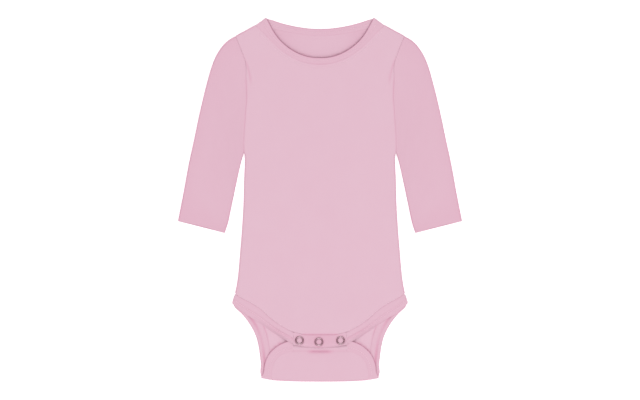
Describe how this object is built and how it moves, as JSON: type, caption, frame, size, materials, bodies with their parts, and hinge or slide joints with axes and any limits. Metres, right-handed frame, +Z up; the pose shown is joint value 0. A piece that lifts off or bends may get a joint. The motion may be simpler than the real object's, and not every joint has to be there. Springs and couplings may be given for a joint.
{
  "type": "baby onesie",
  "caption": "Long-sleeved baby onesie in jersey, laid flat, with bound neck and leg openings and a crotch flap closed by ring snaps.",
  "frame": {"origin": "under the middle of the garment, on the surface that it lies on", "axes": "+X to the garment's left side, +Y towards the neck, +Z up out of the surface"},
  "size_m": [0.3408, 0.436, 0.0089],
  "materials": {
    "jersey": "soft cotton jersey",
    "binding": "folded jersey binding",
    "snap_steel": "nickel-plated"
  },
  "bodies": {
    "root": {"front_panel": "jersey", "back_panel": "jersey", "sleeve_left": "jersey", "sleeve_right": "jersey", "neck_binding": "binding", "leg_binding_left": "binding", "leg_binding_right": "binding", "front_snap_strip": "jersey", "flap_snap_strip": "jersey", "snap_top_ring_left": "snap_steel", "snap_top_ring_middle": "snap_steel", "snap_top_ring_right": "snap_steel", "snap_socket_left": "snap_steel", "snap_socket_middle": "snap_steel", "snap_socket_right": "snap_steel", "snap_stud_left": "snap_steel", "snap_stud_middle": "snap_steel", "snap_stud_right": "snap_steel", "snap_back_ring_left": "snap_steel", "snap_back_ring_middle": "snap_steel", "snap_back_ring_right": "snap_steel"}
  },
  "joints": []
}
